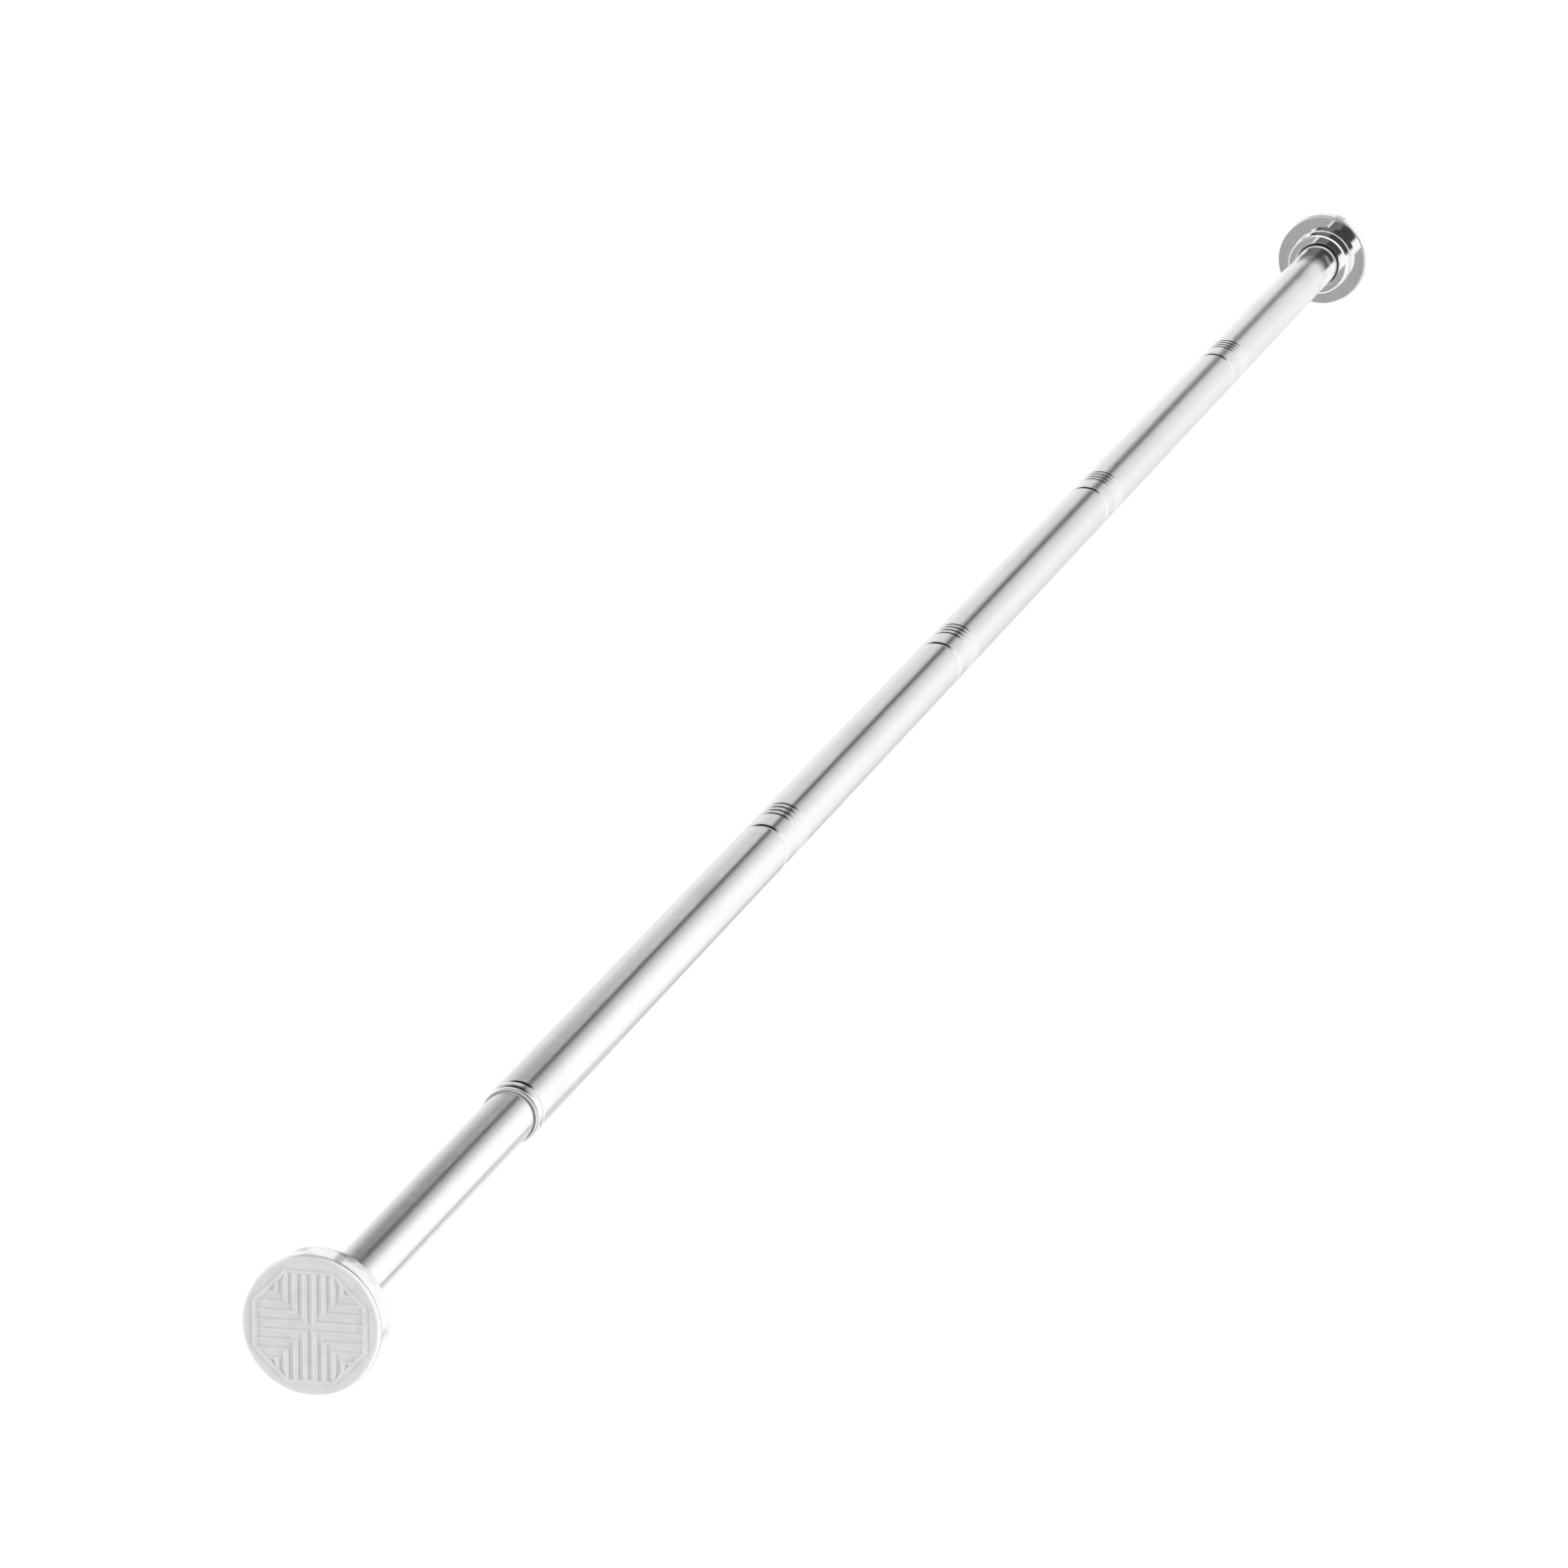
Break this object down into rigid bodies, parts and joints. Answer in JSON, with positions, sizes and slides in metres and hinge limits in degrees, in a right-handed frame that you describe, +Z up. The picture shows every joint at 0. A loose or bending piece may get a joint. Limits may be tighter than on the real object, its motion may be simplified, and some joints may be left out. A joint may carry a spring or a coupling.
{
  "type": "doorway pull-up bar",
  "caption": "Telescopic doorway pull-up bar: a spliced round steel bar that screws out longer, with a swivelling round flange and a ribbed rubber pad at each end.",
  "frame": {"origin": "centre of the fixed end's pad, on the plane of its ridge tops, where it meets the wall", "axes": "+X along the bar's axis from the fixed end to the end that moves, +Y across the bar, +Z up"},
  "size_m": [2.2412, 0.0556, 0.0556],
  "materials": {
    "tube_steel": "satin brushed along the tube",
    "flange_chrome": "polished",
    "pad_rubber": "matte moulded, pale grey",
    "core_plastic": "moulded, natural white",
    "liner_plastic": "moulded, dark grey",
    "hardware_zinc": "bright zinc plated",
    "nut_brass": "machined"
  },
  "bodies": {
    "fixed_end": {"fixed_core": "core_plastic", "fixed_shell": "flange_chrome", "fixed_pad": "pad_rubber", "fixed_thrust_washer": "hardware_zinc"},
    "main_bar": {"fixed_tube_plug": "core_plastic", "fixed_pivot_screw": "hardware_zinc", "main_tube_1": "tube_steel", "main_tube_2": "tube_steel", "main_tube_3": "tube_steel", "main_tube_4": "tube_steel", "main_tube_5": "tube_steel", "coupling_sleeve_1": "hardware_zinc", "coupling_sleeve_2": "hardware_zinc", "coupling_sleeve_3": "hardware_zinc", "coupling_sleeve_4": "hardware_zinc", "mouth_collar": "tube_steel", "mouth_liner": "liner_plastic", "spindle": "hardware_zinc", "spindle_anchor": "hardware_zinc", "spindle_lock_nut": "hardware_zinc", "spindle_stop_ring": "hardware_zinc"},
    "inner_bar": {"inner_tube": "tube_steel", "drive_nut": "nut_brass", "tail_bush": "core_plastic", "moving_tube_plug": "core_plastic", "moving_pivot_screw": "hardware_zinc"},
    "moving_end": {"moving_core": "core_plastic", "moving_shell": "flange_chrome", "moving_pad": "pad_rubber", "moving_thrust_washer": "hardware_zinc"}
  },
  "joints": [
    {"name": "bar_turn", "type": "hinge", "parent": "fixed_end", "child": "main_bar", "pos_m": [0.0254, 0, 0], "axis": [-1, 0, 0], "range_deg": [-14400, 9000]},
    {"name": "bar_extend", "type": "slide", "parent": "fixed_end", "child": "inner_bar", "axis": [1, 0, 0], "range_m": [-0.161, 0.101]},
    {"name": "moving_swivel", "type": "hinge", "parent": "inner_bar", "child": "moving_end", "pos_m": [2.2158, 0, 0], "axis": [1, 0, 0], "continuous": true}
  ],
  "couplings": [
    {"joint": "bar_extend", "follows": "bar_turn", "m_per_rad": 0.00063662}
  ]
}
